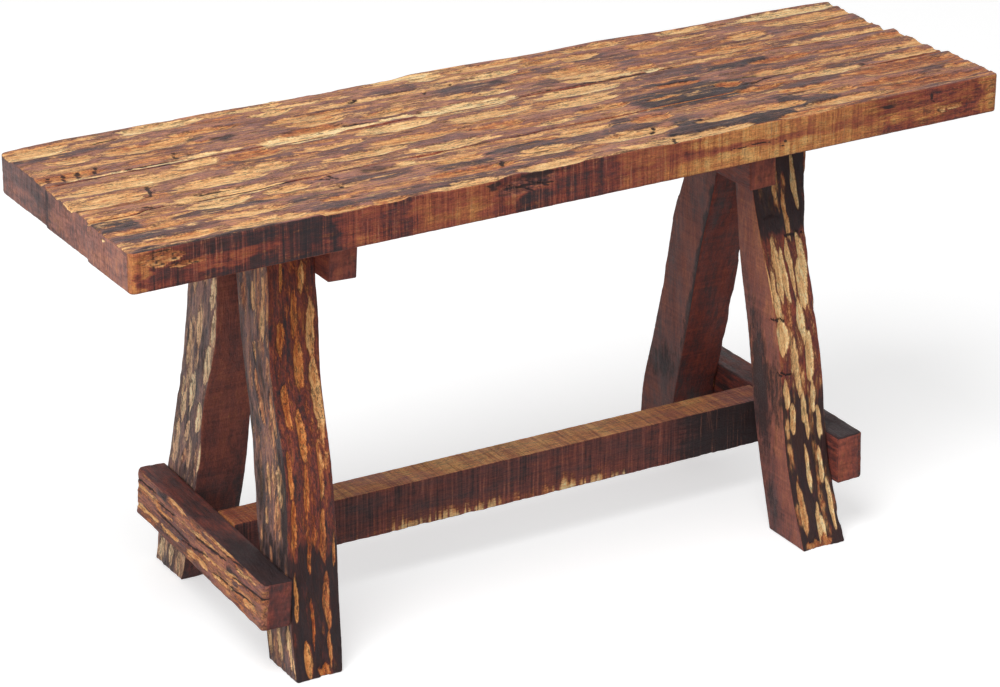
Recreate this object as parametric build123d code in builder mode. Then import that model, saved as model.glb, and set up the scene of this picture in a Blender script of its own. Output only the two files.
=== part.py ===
from build123d import *
import os
from math import cos, radians, sin

# Rustic trestle bench: three hewn planks on two raked A-frames, tied by one stretcher.
# Millimetres, Z up. The origin is on the floor under the middle of the seat, X runs along the
# bench and -Y is its front. Frames and their pieces are named left (-X) and right (+X).

# Seat
seat_height = 448.4
seat_thickness = 38.5
seat_back_reach = 136.8
plank_front_length = 925.5
plank_middle_length = 917.0
plank_back_length = 908.5
plank_middle_shift = -1.8
plank_back_shift = -4.5
# A plank's width is measured at its left and at its right end, because the seat tapers.
plank_front_widths = (88.5, 83.0)
plank_middle_widths = (92.3, 86.0)
plank_back_widths = (101.2, 97.3)
corner_round = 6.0
# How far the waney back edge swells past a straight line, at even steps between its two corners.
back_edge_swell = (7.5, 5.0, 7.5, 4.0, 10.5, 5.0, 7.0, 2.0, 3.5)

# A-frames
frame_reach_left = 311.2
frame_reach_right = 292.2
frame_rake = 2.25
leg_thickness = 49.0
foot_reach = 150.5
foot_depth = 57.5
top_reach = 57.0
top_depth = 48.0

# Rails low on the frames: a ledger on each frame's outer face and the stretcher between them
rail_centre_height = 81.0
ledger_thickness = 30.0
ledger_left_height = 48.0
ledger_right_height = 49.0
ledger_left_slope = 2.2
ledger_left_overhang = 6.0
ledger_right_overhang = 13.0
ledger_back_inset = 1.5
ledger_round = 5.0
stretcher_width = 36.0
stretcher_height = 47.5

# Battens under the seat, on the inner faces of the legs
batten_thickness = 29.5
batten_left_height = 46.0
batten_right_height = 40.0
batten_left_inset = 46.0
batten_right_inset = 34.0

# Blind dowels
dowel_radius = 6.0
dowel_length = 44.0
dowel_in_ledger = 18.0
dowel_fit = 0.1
dowel_end_gap = 0.5
ledger_dowel_spread = 26.0
stretcher_dowel_spread = 22.0
# The pair of dowels in a leg leans this far from level.
ledger_dowel_slant = 37.0
seam_dowel_radius = 5.0
seam_dowel_length = 60.0
seam_dowel_count = 4
seam_dowel_end_distance = 80.0

# Countersunk wood screws
screw_radius = 2.5
screw_head_radius = 5.0
screw_head_depth = 2.8
screw_tip_length = 6.0
screw_recess_width = 1.2
screw_recess_span = 5.4
screw_recess_depth = 1.6
screw_fit = 0.1
seat_screw_bite = 24.0
leg_screw_bite = 28.0

# Worked out from the sizes above
seat_underside = seat_height - seat_thickness
leg_height = seat_underside
# Extra stock at both ends of a raked piece, sawn off level with the floor and the seat.
saw_off = 8.0
rake_cos = cos(radians(frame_rake))
rake_sin = sin(radians(frame_rake))
LEFT = -1
RIGHT = 1
FRONT = -1
BACK = 1

# Each leg's hewn edges as deviations from a straight taper, at even steps from foot to top.
# "outer" and "inner" are the edges away from and next to the other leg of the frame. "face" is
# the free side face: the inner one below the batten on the left frame, and the outer one above
# the ledger on the right frame.
LEGS = {
    "leg_left_front": {
        "side": LEFT,
        "end": FRONT,
        "outer": (-3.5, -5.0, 2.0, 7.0, -4.0, 2.5, 9.0),
        "inner": (-2.0, -5.0, -5.5, -2.5, -8.0, -10.0, -5.0),
        "face": (-2.5, 2.0, 1.5, -1.0, 2.0, 0.0),
    },
    "leg_left_back": {
        "side": LEFT,
        "end": BACK,
        "outer": (-0.5, 1.0, -1.0, -1.5, 2.5, 9.0, 13.0),
        "inner": (0.0, -4.0, -6.0, -2.0, -8.5, 5.0, 13.0),
        "face": (0.5, 3.0, 3.0, 3.0, 1.5, 0.0),
    },
    "leg_right_front": {
        "side": RIGHT,
        "end": FRONT,
        "outer": (0.0, -10.0, -6.0, 1.5, -3.0, -10.5, -9.0),
        "inner": (-3.0, -6.0, -5.0, 0.0, 0.5, 7.0, 9.0),
        "face": (0.0, -1.0, -2.0, 3.0, 14.0, 23.0),
    },
    "leg_right_back": {
        "side": RIGHT,
        "end": BACK,
        "outer": (0.0, 6.5, 0.5, -4.0, -5.5, -15.5, -15.0),
        "inner": (4.0, 4.5, -1.0, -6.0, -11.0, -19.5, -17.0),
        "face": (0.0, 1.0, 1.5, 1.0, 2.0, 3.0),
    },
}


def finish(builder, name):
    """Label a finished piece and write it to its STEP file."""
    builder.part.label = name
    export_step(builder.part, f"parts/{name}.step")


# ---------------------------------------------------------------- reference planes and lines


def frame_plane(side, inward=0.0):
    """Plane of a frame's outer leg faces, or one further inward: local x is +Y, local y climbs."""
    reach = frame_reach_left if side == LEFT else frame_reach_right
    face = Plane(
        origin=(side * reach, 0, 0),
        x_dir=(0, 1, 0),
        z_dir=(rake_cos, 0, side * rake_sin),
    )
    return face.offset(-side * inward)


def frame_front_plane(side):
    """Plane across a frame at Y = 0: local x is +X along the frame's normal, local y climbs."""
    reach = frame_reach_left if side == LEFT else frame_reach_right
    return Plane(
        origin=(side * reach, 0, 0),
        x_dir=(rake_cos, 0, side * rake_sin),
        z_dir=(0, -1, 0),
    )


def frame_x(side, inward, height):
    """X of a point that lies a distance inward of a frame's outer leg faces, at a height."""
    reach = frame_reach_left if side == LEFT else frame_reach_right
    return side * (reach - inward / rake_cos - height * rake_sin / rake_cos)


def leg_edge(leg, edge):
    """Reach of a leg's edge from the centre line at each knot, from foot to top."""
    foot = foot_reach if edge == "outer" else foot_reach - foot_depth
    top = top_reach if edge == "outer" else top_reach - top_depth
    waves = leg[edge]
    steps = len(waves) - 1
    return [foot + (top - foot) * i / steps + wave for i, wave in enumerate(waves)]


def leg_reach_at(leg, edge, height):
    """Reach of a leg's edge from the centre line at any height."""
    knots = leg_edge(leg, edge)
    place = height / leg_height * (len(knots) - 1)
    low = max(0, min(int(place), len(knots) - 2))
    return knots[low] + (knots[low + 1] - knots[low]) * (place - low)


def leg_middle_at(name, height):
    """Y of the middle of a leg at a height."""
    leg = LEGS[name]
    outer = leg_reach_at(leg, "outer", height)
    inner = leg_reach_at(leg, "inner", height)
    return leg["end"] * (outer + inner) / 2


def leg_names(side):
    """The front and the back leg of a frame."""
    return [name for name, leg in LEGS.items() if leg["side"] == side]


def seam_y(line, x):
    """Y at x of a line of the seat, named by the widths of the planks that lie behind it."""
    left = seat_back_reach - sum(widths[0] for widths in line)
    right = seat_back_reach - sum(widths[1] for widths in line)
    return (left + right) / 2 + (right - left) * x / plank_front_length


BACK_LINE = ()
BACK_SEAM = (plank_back_widths,)
FRONT_SEAM = (plank_back_widths, plank_middle_widths)
FRONT_LINE = (plank_back_widths, plank_middle_widths, plank_front_widths)

# ------------------------------------------------------------------------- fastener places


def batten_height(side):
    return batten_left_height if side == LEFT else batten_right_height


def ledger_height(side):
    return ledger_left_height if side == LEFT else ledger_right_height


def ledger_slope(side):
    return ledger_left_slope if side == LEFT else 0.0


def batten_ends(side):
    """Y of a batten's front and back ends."""
    x = frame_x(side, leg_thickness + batten_thickness / 2, leg_height)
    inset = batten_left_inset if side == LEFT else batten_right_inset
    return seam_y(FRONT_LINE, x) + inset, seam_y(BACK_LINE, x) - inset


def ledger_dowel_points(name):
    """Centres, on the frame plane, of the two dowels that hold a ledger to a leg."""
    leg = LEGS[name]
    middle = leg_middle_at(name, rail_centre_height)
    centre = rail_centre_height + middle * sin(radians(ledger_slope(leg["side"])))
    across = ledger_dowel_spread / 2 * cos(radians(ledger_dowel_slant))
    down = ledger_dowel_spread / 2 * sin(radians(ledger_dowel_slant))
    return [(middle - across, centre + down), (middle + across, centre - down)]


def stretcher_dowel_points():
    """Centres, on a frame plane, of the two dowels that hold the stretcher to a ledger."""
    half = stretcher_dowel_spread / 2
    return [(0, rail_centre_height - half), (0, rail_centre_height + half)]


def seam_dowel_places(seam):
    """Places of the dowels across a seam, each with its axis along Y."""
    span = plank_back_length - 2 * seam_dowel_end_distance
    first = plank_back_shift - span / 2
    height = seat_underside + seat_thickness / 2
    places = []
    for i in range(seam_dowel_count):
        x = first + span * i / (seam_dowel_count - 1)
        places.append(Plane(origin=(x, seam_y(seam, x), height), x_dir=(1, 0, 0), z_dir=(0, 1, 0)))
    return places


def seat_screw_places(side):
    """Places of the screws up through a batten, one into each plank: local z leaves the head."""
    x_low = frame_x(side, leg_thickness + batten_thickness / 2, leg_height - batten_height(side))
    front_end, back_end = batten_ends(side)
    front_seam = seam_y(FRONT_SEAM, x_low)
    back_seam = seam_y(BACK_SEAM, x_low)
    rows = ((front_end + front_seam) / 2, (front_seam + back_seam) / 2, (back_seam + back_end) / 2)
    plane = frame_plane(side, leg_thickness + batten_thickness / 2)
    up = leg_height - batten_height(side)
    places = []
    for y in rows:
        head = plane.from_local_coords((y, up, 0))
        climb = Vector(-side * rake_sin, 0, rake_cos)
        places.append(Plane(origin=head, x_dir=(0, 1, 0), z_dir=-climb))
    return places


def leg_screw_places(side):
    """Places of the screws through a batten into the legs: local z leaves the head."""
    up = leg_height - batten_height(side) / 2
    face = frame_plane(side, leg_thickness + batten_thickness)
    inward = Vector(-side * rake_cos, 0, -rake_sin)
    places = []
    for name in leg_names(side):
        head = face.from_local_coords((leg_middle_at(name, up), up, 0))
        places.append(Plane(origin=head, x_dir=(0, 1, 0), z_dir=inward))
    return places


def screw_former(length, fit):
    """A countersunk wood screw pointing down local z from its head, or with a fit its hole."""
    with BuildPart() as former:
        with BuildSketch(Plane.XZ):
            with BuildLine():
                Polyline(
                    (0, fit),
                    (screw_head_radius + 2 * fit, fit),
                    (screw_radius + fit, -screw_head_depth),
                    (screw_radius + fit, screw_tip_length - length),
                    (0, -length - fit),
                    close=True,
                )
            make_face()
        revolve(axis=Axis.Z)
    return former


def wood_screw(length):
    """A screw with a cross recess in its head."""
    blank = screw_former(length, 0.0).part
    with BuildPart() as screw:
        add(blank)
        with BuildSketch(Plane.XY):
            Rectangle(screw_recess_span, screw_recess_width)
            Rectangle(screw_recess_width, screw_recess_span)
        extrude(amount=-screw_recess_depth, mode=Mode.SUBTRACT)
    return screw


def seat_screw_length(side):
    return batten_height(side) + seat_screw_bite


leg_screw_length = batten_thickness + leg_screw_bite

# --------------------------------------------------------------------------------- pieces


def plank_outline(length, shift, front_line, back_line, swell):
    """Outline of a seat plank between two lines of the seat, with a straight or a waney back."""
    left = shift - length / 2
    right = shift + length / 2
    step = length / (len(swell) + 1)
    waves = []
    for i, wave in enumerate(swell):
        x = left + step * (i + 1)
        waves.append((x, seam_y(back_line, x) + wave))
    front_left = (left, seam_y(front_line, left))
    front_right = (right, seam_y(front_line, right))
    back_left = (left, seam_y(back_line, left))
    back_right = (right, seam_y(back_line, right))
    with BuildSketch(Plane.XY.offset(seat_underside)) as outline:
        with BuildLine():
            Polyline(back_left, front_left, front_right, back_right)
            if swell:
                Spline(back_left, *waves, back_right)
            else:
                Line(back_left, back_right)
        make_face()
    return outline


def plank(outline, row, seams, rounded):
    """A seat plank with its screw holes, its dowel holes and its rounded outer corners.

    The row counts the planks from the front, and seams are the ones that the plank's edges make.
    """
    board_outline = outline.sketch
    holes = [screw_former(seat_screw_length(side), screw_fit).part for side in (LEFT, RIGHT)]
    with BuildPart() as board:
        extrude(board_outline, amount=seat_thickness)
        upright = board.edges().filter_by(Axis.Z).sort_by(Axis.Y)
        if rounded == FRONT:
            fillet(upright[:2], corner_round)
        if rounded == BACK:
            fillet(upright[-2:], corner_round)
        for side, hole in zip((LEFT, RIGHT), holes):
            with Locations(seat_screw_places(side)[row]):
                add(hole, mode=Mode.SUBTRACT)
        for seam in seams:
            with Locations(*seam_dowel_places(seam)):
                Cylinder(
                    seam_dowel_radius + dowel_fit,
                    seam_dowel_length + 2 * dowel_end_gap,
                    mode=Mode.SUBTRACT,
                )
    return board


def seam_dowels(seam):
    """The dowels across one seam of the seat."""
    with BuildPart() as pins:
        with Locations(*seam_dowel_places(seam)):
            Cylinder(seam_dowel_radius, seam_dowel_length)
    return pins


def leg_side_outline(leg):
    """Closed outline of a leg seen along the bench, with stock left for sawing both ends."""
    end = leg["end"]
    step = leg_height / (len(leg["outer"]) - 1)
    edges = []
    for edge in ("outer", "inner"):
        reaches = leg_edge(leg, edge)
        knots = [(end * reach, i * step) for i, reach in enumerate(reaches)]
        # The first and the last stretch run on straight past the saw cuts.
        below = (knots[0][0] + (knots[0][0] - knots[1][0]) * saw_off / step, -saw_off)
        above = (knots[-1][0] + (knots[-1][0] - knots[-2][0]) * saw_off / step, leg_height + saw_off)
        edges.append([below, *knots, above])
    outer, inner = edges
    with BuildSketch(frame_plane(leg["side"])) as outline:
        with BuildLine():
            Spline(*outer)
            Line(outer[-1], inner[-1])
            Spline(*inner)
            Line(inner[0], outer[0])
        make_face()
    return outline


def leg_front_outline(leg):
    """Closed outline of a leg seen from the front, flat where the ledger and batten bear."""
    side = leg["side"]
    inner_x = -side * leg_thickness
    if side == LEFT:
        start, stop = -saw_off, leg_height - batten_height(side) - saw_off
        flat_x, free_x, outward = 0.0, inner_x, -side
        flat_end = leg_height + saw_off
    else:
        start, stop = rail_centre_height + ledger_height(side) / 2 + saw_off, leg_height + saw_off
        flat_x, free_x, outward = inner_x, 0.0, side
        flat_end = -saw_off
    step = (stop - start) / (len(leg["face"]) - 1)
    knots = [(free_x + outward * wave, start + step * i) for i, wave in enumerate(leg["face"])]
    with BuildSketch(frame_front_plane(side)) as outline:
        with BuildLine():
            Spline(*knots)
            if side == LEFT:
                flat = ((free_x, flat_end), (flat_x, flat_end), (flat_x, -saw_off))
                Polyline(knots[-1], *flat, knots[0])
            else:
                flat = ((free_x, flat_end), (flat_x, flat_end), (flat_x, stop))
                Polyline(knots[0], *flat, knots[-1])
        make_face()
    return outline


def leg_piece(name):
    """A hewn leg, raked with its frame and sawn level at the floor and under the seat."""
    leg = LEGS[name]
    side = leg["side"]
    side_outline = leg_side_outline(leg).sketch
    front_outline = leg_front_outline(leg).sketch
    hole = screw_former(leg_screw_length, screw_fit).part
    with BuildPart() as piece:
        extrude(side_outline, amount=2 * leg_thickness, both=True)
        extrude(front_outline, amount=2 * foot_reach, both=True, mode=Mode.INTERSECT)
        split(bisect_by=Plane.XY, keep=Keep.TOP)
        split(bisect_by=Plane.XY.offset(seat_underside), keep=Keep.BOTTOM)
        with BuildSketch(frame_plane(side)):
            with Locations(*ledger_dowel_points(name)):
                Circle(dowel_radius + dowel_fit)
        extrude(amount=-side * (dowel_length - dowel_in_ledger + dowel_end_gap), mode=Mode.SUBTRACT)
        with Locations(leg_screw_places(side)[leg_names(side).index(name)]):
            add(hole, mode=Mode.SUBTRACT)
    return piece


def ledger_piece(side):
    """A ledger on a frame's outer face, from just past the front leg to just short of the back."""
    front_name, back_name = leg_names(side)
    overhang = ledger_left_overhang if side == LEFT else ledger_right_overhang
    front_end = -leg_reach_at(LEGS[front_name], "outer", rail_centre_height) - overhang
    back_end = leg_reach_at(LEGS[back_name], "outer", rail_centre_height) - ledger_back_inset
    middle = (front_end + back_end) / 2
    slope = ledger_slope(side)
    centre = rail_centre_height + middle * sin(radians(slope))
    with BuildPart() as piece:
        with BuildSketch(frame_plane(side)):
            with Locations((middle, centre)):
                Rectangle(back_end - front_end, ledger_height(side), rotation=slope)
        extrude(amount=side * ledger_thickness)
        outer_face = piece.faces().sort_by(Axis.X)[-1 if side == RIGHT else 0]
        fillet(outer_face.edges(), ledger_round)
        with BuildSketch(frame_plane(side)):
            with Locations(*ledger_dowel_points(front_name), *ledger_dowel_points(back_name)):
                Circle(dowel_radius + dowel_fit)
            with Locations(*stretcher_dowel_points()):
                Circle(dowel_radius + dowel_fit)
        extrude(amount=side * (dowel_in_ledger + dowel_end_gap), mode=Mode.SUBTRACT)
    return piece


def frame_dowels(side, points):
    """Dowels that cross a frame's outer plane at the given points."""
    with BuildPart() as pins:
        with BuildSketch(frame_plane(side, dowel_length - dowel_in_ledger)):
            with Locations(*points):
                Circle(dowel_radius)
        extrude(amount=side * dowel_length)
    return pins


def batten_piece(side):
    """A batten against the inner faces of a frame's legs, sawn level under the seat."""
    front_end, back_end = batten_ends(side)
    height = batten_height(side)
    seat_screw_hole = screw_former(seat_screw_length(side), screw_fit).part
    leg_screw_hole = screw_former(leg_screw_length, screw_fit).part
    with BuildPart() as piece:
        with BuildSketch(frame_plane(side, leg_thickness)):
            with Locations(((front_end + back_end) / 2, leg_height - height)):
                Rectangle(back_end - front_end, height + saw_off, align=(Align.CENTER, Align.MIN))
        extrude(amount=-side * batten_thickness)
        split(bisect_by=Plane.XY.offset(seat_underside), keep=Keep.BOTTOM)
        with Locations(*seat_screw_places(side)):
            add(seat_screw_hole, mode=Mode.SUBTRACT)
        with Locations(*leg_screw_places(side)):
            add(leg_screw_hole, mode=Mode.SUBTRACT)
    return piece


def screws(places, length):
    """Equal screws at the given places."""
    screw = wood_screw(length).part
    with BuildPart() as group:
        with Locations(*places):
            add(screw)
    return group


os.makedirs("parts", exist_ok=True)

# Seat
front_outline = plank_outline(plank_front_length, 0.0, FRONT_LINE, FRONT_SEAM, ())
seat_plank_front = plank(front_outline, 0, (FRONT_SEAM,), FRONT)
finish(seat_plank_front, "seat_plank_front")

middle_outline = plank_outline(plank_middle_length, plank_middle_shift, FRONT_SEAM, BACK_SEAM, ())
seat_plank_middle = plank(middle_outline, 1, (FRONT_SEAM, BACK_SEAM), None)
finish(seat_plank_middle, "seat_plank_middle")

back_outline = plank_outline(
    plank_back_length, plank_back_shift, BACK_SEAM, BACK_LINE, back_edge_swell
)
seat_plank_back = plank(back_outline, 2, (BACK_SEAM,), BACK)
finish(seat_plank_back, "seat_plank_back")

finish(seam_dowels(FRONT_SEAM), "seam_dowels_front")
finish(seam_dowels(BACK_SEAM), "seam_dowels_back")

# Frames
for leg_name in LEGS:
    finish(leg_piece(leg_name), leg_name)

for side, word in ((LEFT, "left"), (RIGHT, "right")):
    front_leg, back_leg = leg_names(side)
    finish(ledger_piece(side), f"ledger_{word}")
    finish(batten_piece(side), f"batten_{word}")
    leg_points = ledger_dowel_points(front_leg) + ledger_dowel_points(back_leg)
    finish(frame_dowels(side, leg_points), f"ledger_dowels_{word}")
    finish(screws(seat_screw_places(side), seat_screw_length(side)), f"seat_screws_{word}")
    finish(screws(leg_screw_places(side), leg_screw_length), f"leg_screws_{word}")

# Stretcher, butted between the two ledgers
with BuildPart() as stretcher:
    with BuildSketch(Plane.YZ):
        with Locations((0, rail_centre_height)):
            Rectangle(stretcher_width, stretcher_height)
    extrude(amount=frame_reach_left + frame_reach_right, both=True)
    split(bisect_by=frame_plane(LEFT), keep=Keep.TOP)
    split(bisect_by=frame_plane(RIGHT), keep=Keep.BOTTOM)
    for side in (LEFT, RIGHT):
        with BuildSketch(frame_plane(side)):
            with Locations(*stretcher_dowel_points()):
                Circle(dowel_radius + dowel_fit)
        extrude(amount=-side * (dowel_length - dowel_in_ledger + dowel_end_gap), mode=Mode.SUBTRACT)
finish(stretcher, "stretcher")

for side, word in ((LEFT, "left"), (RIGHT, "right")):
    finish(frame_dowels(side, stretcher_dowel_points()), f"stretcher_dowels_{word}")
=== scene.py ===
"""Rustic log bench: hewn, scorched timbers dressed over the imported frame."""
import math
import bpy
import numpy as np
from mathutils import Euler, Matrix, Vector


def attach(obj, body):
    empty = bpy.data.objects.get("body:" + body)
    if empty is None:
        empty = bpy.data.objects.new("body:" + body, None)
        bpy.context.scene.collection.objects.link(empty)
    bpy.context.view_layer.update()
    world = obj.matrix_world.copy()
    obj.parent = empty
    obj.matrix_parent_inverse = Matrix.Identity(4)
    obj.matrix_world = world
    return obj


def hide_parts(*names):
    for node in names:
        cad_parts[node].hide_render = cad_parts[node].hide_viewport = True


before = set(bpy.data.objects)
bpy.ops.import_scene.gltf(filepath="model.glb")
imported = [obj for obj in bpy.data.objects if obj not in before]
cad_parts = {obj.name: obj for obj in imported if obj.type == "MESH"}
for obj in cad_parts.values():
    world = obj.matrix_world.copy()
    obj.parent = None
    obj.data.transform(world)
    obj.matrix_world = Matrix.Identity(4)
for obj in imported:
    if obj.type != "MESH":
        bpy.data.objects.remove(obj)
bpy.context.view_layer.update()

MM = 0.001

# Axes of a timber's own frame: the long axis first, then the two across it.
AXES = ALONG, ACROSS, UP = 0, 1, 2
LOW, HIGH = -1, 1
WORLD_AXES = ((1, 0, 0), (0, 1, 0), (0, 0, 1))
UPRIGHT = ((0, 0, 1), (1, 0, 0), (0, 1, 0))

# How far from an edge a face still bends to the relief of the face next to it.
EDGE_FADE = 10

# The frames: their rake, the left ledger's slope, how far out the legs stand at the floor, and
# the legs' height.
RAKE = math.radians(2.25)
LEDGER_SLOPE = math.radians(2.2)
LEFT_REACH = 311.2
RIGHT_REACH = 292.2
LEG_HEIGHT = 410

WHITE = (1, 1, 1, 1)


# ---------------- noise

def lattice(ix, iy, seed):
    """A repeatable random number from -1 to 1 for each whole-numbered point."""
    mask = 0xFFFFFFFF
    n = (ix * 374761393 + iy * 668265263 + seed * 974634777) & mask
    n = ((n ^ (n >> 13)) * 1274126177) & mask
    n = ((n ^ (n >> 15)) * 2246822519) & mask
    n = n ^ (n >> 16)
    return (n & 0xFFFF) / 32767.5 - 1


def noise(x, y, seed):
    """Smooth noise of about unit grain."""
    ix = np.floor(x).astype(np.int64)
    iy = np.floor(y).astype(np.int64)
    fx = x - ix
    fy = y - iy
    fx = fx * fx * (3 - 2 * fx)
    fy = fy * fy * (3 - 2 * fy)
    low = lattice(ix, iy, seed) * (1 - fx) + lattice(ix + 1, iy, seed) * fx
    high = lattice(ix, iy + 1, seed) * (1 - fx) + lattice(ix + 1, iy + 1, seed) * fx
    return low * (1 - fy) + high * fy


def fbm(x, y, seed, octaves=3):
    """Layered noise, each layer twice as fine and half as strong."""
    total = np.zeros(np.broadcast(x, y).shape)
    for i in range(octaves):
        total += noise(x * 2**i, y * 2**i, seed + 31 * i) / 2**i
    return total


def ease(value, low, high):
    """Smooth step from 0 at low to 1 at high."""
    t = np.clip((value - low) / (high - low), 0, 1)
    return t * t * (3 - 2 * t)


# ---------------- painting a face

LAYERS = ("cut", "tone", "stain", "sawn", "char", "calm", "score")


def place_in(u, v, patch):
    """Where points lie in a patch (u from, u to, v from, v to): 0 in its middle, 1 at its sides."""
    u0, u1, v0, v1 = patch
    return (u - (u0 + u1) / 2) / ((u1 - u0) / 2), (v - (v0 + v1) / 2) / ((v1 - v0) / 2)


class Face:
    """Paint and relief of one face of a timber. u runs along it and v across it, in mm.

    height is how deep the surface lies, and the LAYERS become attributes of the mesh: cut is
    the share of pale cut wood and tone its colour, with painted highlights and painted shade
    on the cuts' sides, stain the ground's darkness and sawn its redness, and the char layer
    holds what is scorched and the painted shadow lines along the cuts' low edges. calm quiets
    the grain, and score brings in saw hairlines.
    """

    def __init__(self, u, v, sawn, stain, seed, calm=0, score=0):
        self.u, self.v, self.seed = u, v, seed
        self.height = np.zeros(u.shape)
        for layer, start in zip(LAYERS, (0, 0.4, stain, sawn, 0, calm, score)):
            setattr(self, layer, np.full(u.shape, float(start)))

    def noise(self, grain_u, grain_v, salt, make=noise):
        """Noise of the given grain over the face."""
        return make(self.u / grain_u, self.v / grain_v, self.seed + salt)

    def fbm(self, grain_u, grain_v, salt):
        return self.noise(grain_u, grain_v, salt, fbm)

    def warped(self, along, across, grain_u, grain_v, salt):
        """The face's coordinates with their lines broken up by noise."""
        u = self.u + along * self.fbm(grain_u, grain_v, salt)
        return u, self.v + across * self.fbm(grain_u, grain_v, salt + 500)

    def texture(self, amount, grain_u=30, grain_v=4):
        """Low furrows along the grain."""
        self.height += amount * (1 + self.fbm(grain_u, grain_v, 3))

    def mottle(self, amount, grain_u=45, grain_v=12):
        """Uneven stain, in clouds and in finer streaks."""
        self.stain += amount * self.fbm(grain_u, grain_v, 11)
        self.stain += 0.8 * amount * self.fbm(13, 3.2, 12)

    def kerf(self, amount, pitch):
        """Marks of a coarse saw, across the grain."""
        place = self.u + 0.06 * self.v + 1.2 * self.noise(40, 30, 5)
        lines = noise(place / pitch, self.v / 60, self.seed + 6)
        self.height += amount * (1 + lines)
        return lines

    def drift(self, pitch, length, sureness=0):
        """Weaker cuts in rows that wander along the whole face: how far into one, and its row."""
        row = self.v / pitch + 0.5 * self.noise(120, 45, 81) + 0.22 * self.noise(38, 14, 82)
        number = np.floor(row)
        across = np.clip(1 - (2 * (row - number) - 1) ** 2, 0, 1) ** 0.8
        life = noise(self.u / length + 0.37 * number, number, self.seed + 83)
        return across * ease(life, -0.55 - sureness, 0.35 - sureness), number

    def carve(
        self, cuts, depth=1.7, rough=1.5, wisps=0.55, rows=None, slim=1.12, between=0.28, rims=(0.2, 0)
    ):
        """Adze cuts: each is (u from, u to, v from, v to, tone), a lens with ragged edges.

        rows adds weaker cuts between them, whose tone lies about between. rims makes the cuts
        paler along their low and high sides: pale raw wood with a painted highlight. Without a
        high rim the high side gets painted shade, and every cut gets a painted shadow line
        along its low edge.
        """
        u, v = self.warped(5, rough, 15, 4.5, 20)
        best = np.zeros(self.u.shape)
        hollow = np.zeros(self.u.shape)
        for u0, u1, v0, v1, tone in cuts:
            half_length = (u1 - u0) / 2 + 3
            half_width = (v1 - v0) / 2 * slim
            along = (u - (u0 + u1) / 2) / half_length
            reach = np.clip(1 - np.abs(along) ** 2.6, 0, 1) ** 0.7
            across = (v - (v0 + v1) / 2) / (half_width * reach + 1e-6)
            inside = np.clip(1 - across**2, 0, 1) * reach
            deep = min(depth, 0.25 * half_width + 0.35)
            hollow = np.maximum(hollow, deep * np.minimum(1, inside * 1.35))
            # Pale rims are pale raw wood with a painted highlight; shadow is painted shade on the cut's
            # high side.
            for rim, side in zip(rims, (LOW, HIGH)):
                tone = tone + rim * ease(np.abs(across - 0.62 * side), 0.42, 0.1)
            shadow = 0.08 * ease(across, 0.1, 0.9) * (rims[1] == 0)
            self.tone = np.where(inside > best, tone - shadow, self.tone)
            # A painted shadow line along the cut's low edge, put into the char layer.
            shadow_line = ease(np.abs(across + 1.12), 0.26, 0.08) * ease(reach, 0.1, 0.5)
            old = self.char * (1 - 0.9 * ease(inside, 0.1, 0.5))
            self.char = np.maximum(old, 0.55 * shadow_line * (inside >= 0.9 * best))
            best = np.maximum(best, inside)
        wisp = self.fbm(30, 3.4, 77)
        speck = self.fbm(7, 3, 78)
        self.height += hollow + 0.22 * wisp * ease(best, 0.9, 0.1)
        streaky = 1.9 * best + wisps * (wisp + 0.4 * speck) * (1 - 0.35 * best)
        self.cut = np.maximum(self.cut, np.clip(streaky, 0, 1))
        between = between + 0.1 * self.noise(50, 9, 79)
        core = ease(best, 0, 0.45)
        if rows:
            fill, number = self.drift(*rows)
            fill = fill * (1 - 0.8 * core) * ease(self.stain, 0.22, 0.55)
            self.height += 0.45 * depth * fill * (1 - core)
            self.cut = np.maximum(self.cut, np.clip(0.85 * fill + 0.25 * speck * fill, 0, 1))
            between = between + 0.15 * noise(self.u / 60, number, self.seed + 84)
        self.tone = self.tone * core + between * (1 - core) + 0.1 * speck

    def shade(self, patches, rough=3):
        """Stained patches: each is (u from, u to, v from, v to, stain)."""
        u, v = self.warped(9, rough, 20, 7, 60)
        for *patch, stain in patches:
            along, across = place_in(u, v, patch)
            near = ease(along**4 + across**4, 1.9, 0.4)
            self.stain = self.stain * (1 - near) + stain * near

    def scorch_and_shade(self, patches, rough=3):
        """Charred patches, and patches of painted shade: each is (u from, u to, v from, v to, strength).
        """
        u, v = self.warped(7, rough, 14, 6, 90)
        for *patch, strength in patches:
            near = np.clip(1.25 - np.hypot(*place_in(u, v, patch)), 0, 1)
            self.char = np.maximum(self.char, strength * near)

    def crack(self, lines, deep=1.8):
        """Splits: each is (u, v, u, v, width), a narrow dark groove."""
        u, v = self.warped(1.5, 0.8, 6, 4, 120)
        for u0, v0, u1, v1, width in lines:
            du, dv = u1 - u0, v1 - v0
            t = np.clip(((u - u0) * du + (v - v0) * dv) / (du * du + dv * dv), 0, 1)
            away = np.hypot(u - u0 - t * du, v - v0 - t * dv)
            near = ease(away, width * (1.15 - 0.8 * np.abs(2 * t - 1) ** 3), 0.2)
            self.height += deep * near
            self.char = np.maximum(self.char, 1.8 * near)


# ---------------- timbers

def node_edges(name, axes):
    """Both ends of every mesh edge of a CAD node, in millimetres along the given axes."""
    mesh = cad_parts[name].data
    points = np.zeros(len(mesh.vertices) * 3)
    mesh.vertices.foreach_get("co", points)
    pairs = np.zeros(len(mesh.edges) * 2, dtype=np.int64)
    mesh.edges.foreach_get("vertices", pairs)
    local = (points.reshape(-1, 3) / MM) @ np.array(axes).T
    pairs = pairs.reshape(-1, 2)
    return local[pairs[:, 0]], local[pairs[:, 1]]


def stations_between(low, high, step, round_over):
    """Places along a timber, closer together where its ends are rounded."""
    ends = np.array([0, 0.35, 0.9, 1.6, 2.6, 4])
    ends = ends[ends < max(round_over * 2.5, 2)]
    inner = np.linspace(low + ends[-1], high - ends[-1], max(3, round((high - low) / step)))
    return np.concatenate([low + ends[:-1], inner, (high - ends[:-1])[::-1]])


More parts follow.
